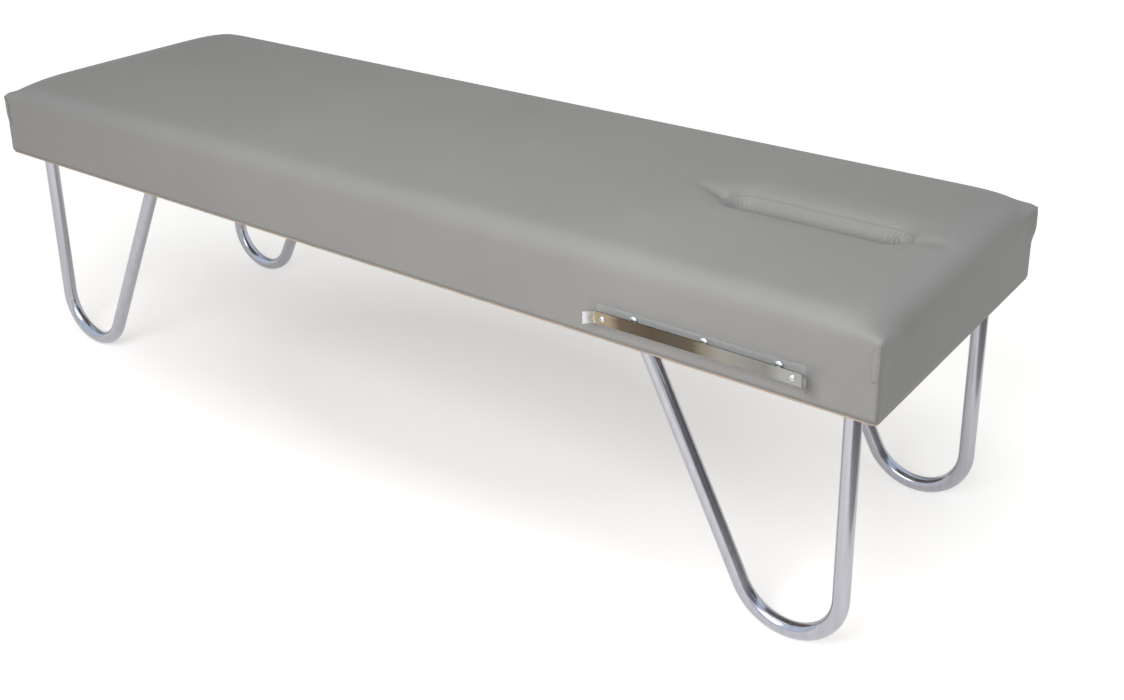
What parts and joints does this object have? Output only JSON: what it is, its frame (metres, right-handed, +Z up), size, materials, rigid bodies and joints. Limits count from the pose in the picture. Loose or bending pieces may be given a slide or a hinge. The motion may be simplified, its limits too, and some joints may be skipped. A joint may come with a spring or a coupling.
{
  "type": "chiropractic table",
  "caption": "Low padded adjusting bench with a lengthwise face slot near the head end, a metal strip on one side that holds headrest paper, and bent chrome hairpin legs.",
  "frame": {"origin": "on the floor under the middle of the bench, where the four leg bends stand", "axes": "+X along the bench to the head end with the face slot, +Y away from the side with the paper strip, +Z up"},
  "size_m": [1.88, 0.587, 0.552],
  "materials": {
    "vinyl": "smooth grey upholstery vinyl with a soft sheen",
    "foam": "cut upholstery foam",
    "timber": "planed softwood",
    "plywood": "sanded plywood",
    "hardboard": "smooth tan hardboard",
    "chrome_tube": "chrome plate, satin on the straight runs and bright in the bends",
    "strap_steel": "plated flat bar",
    "zinc_fasteners": "zinc plate",
    "bright_screws": "bright plated domed heads",
    "clear_plastic": "clear polished sheet",
    "strip_metal": "polished spring strip"
  },
  "bodies": {
    "root": {"foam_pad": "foam", "vinyl_cover": "vinyl", "near_side_rail": "timber", "far_side_rail": "timber", "head_end_rail": "timber", "foot_end_rail": "timber", "head_brace": "timber", "middle_brace": "timber", "foot_brace": "timber", "head_near_leg_board": "plywood", "head_far_leg_board": "plywood", "foot_near_leg_board": "plywood", "foot_far_leg_board": "plywood", "deck_board": "plywood", "underside_panel": "hardboard", "head_near_leg": "chrome_tube", "head_far_leg": "chrome_tube", "foot_near_leg": "chrome_tube", "foot_far_leg": "chrome_tube", "head_near_leg_strap": "strap_steel", "head_far_leg_strap": "strap_steel", "foot_near_leg_strap": "strap_steel", "foot_far_leg_strap": "strap_steel", "leg_bolts": "zinc_fasteners", "leg_tee_nuts": "zinc_fasteners", "frame_screws": "zinc_fasteners", "deck_screws": "zinc_fasteners", "panel_screws": "zinc_fasteners", "paper_plate": "clear_plastic", "paper_plate_screws": "bright_screws", "paper_strip": "strip_metal", "foot_side_spacer": "strip_metal", "head_side_spacer": "strip_metal", "paper_strip_screws": "bright_screws"}
  },
  "joints": []
}
